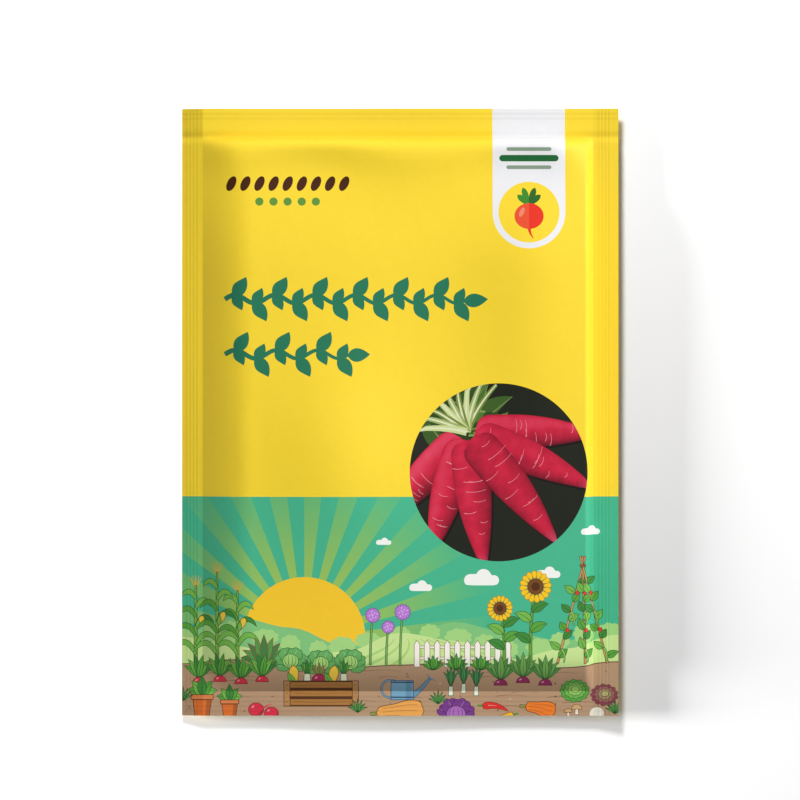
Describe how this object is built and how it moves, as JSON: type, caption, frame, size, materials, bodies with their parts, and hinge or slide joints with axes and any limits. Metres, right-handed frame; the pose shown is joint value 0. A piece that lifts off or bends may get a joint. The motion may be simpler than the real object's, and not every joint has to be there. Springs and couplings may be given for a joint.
{
  "type": "seed packet",
  "caption": "Flat rectangular seed packet of printed laminated film, heat-sealed with ribs along every edge, with a shallow pillow between the seals that holds loose radish seeds.",
  "frame": {"origin": "under the middle of the packet, on the surface that its back lies on", "axes": "+Z out of the printed front, +Y towards the top edge, +X to the right as the front is read"},
  "size_m": [0.0826, 0.1146, 0.0068],
  "materials": {
    "front_film": "glossy printed laminate, yellow above and green below",
    "back_film": "glossy printed laminate, yellow",
    "seeds": "matt reddish brown seed coat"
  },
  "bodies": {
    "root": {"front_film": "front_film", "back_film": "back_film", "seeds": "seeds"}
  },
  "joints": []
}
